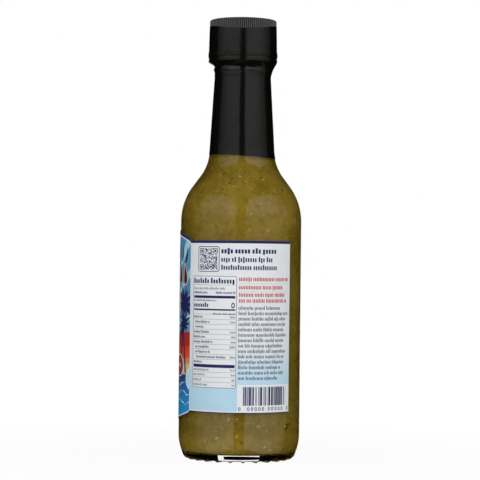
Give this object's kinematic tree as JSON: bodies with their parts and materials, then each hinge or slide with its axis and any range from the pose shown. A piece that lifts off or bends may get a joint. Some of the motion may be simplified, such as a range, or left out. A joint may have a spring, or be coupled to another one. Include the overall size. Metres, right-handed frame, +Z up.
{
  "type": "sauce bottle",
  "caption": "Tall slim glass bottle of green pepper sauce with a sloping neck, a ribbed black screw cap under a shrunk black band, and a wrap-round paper label.",
  "frame": {"origin": "centre of the foot, on the plane that the bottle stands on", "axes": "+Z up along the bottle's axis; the label's small-print panel faces -Y, with +X to its right"},
  "size_m": [0.047, 0.0472, 0.1698],
  "materials": {
    "clear_glass": "clear flint glass, smooth and glossy",
    "green_sauce": "thick olive-green pepper sauce, wet, with seeds and flecks",
    "cap_plastic": "black moulded plastic, fine ribs",
    "band_film": "black shrunk film, glossy, slightly wrinkled",
    "label_paper": "coated printed paper"
  },
  "bodies": {
    "root": {"glass_bottle": "clear_glass", "sauce": "green_sauce", "screw_cap": "cap_plastic", "shrink_band": "band_film", "wrap_label": "label_paper"}
  },
  "joints": []
}
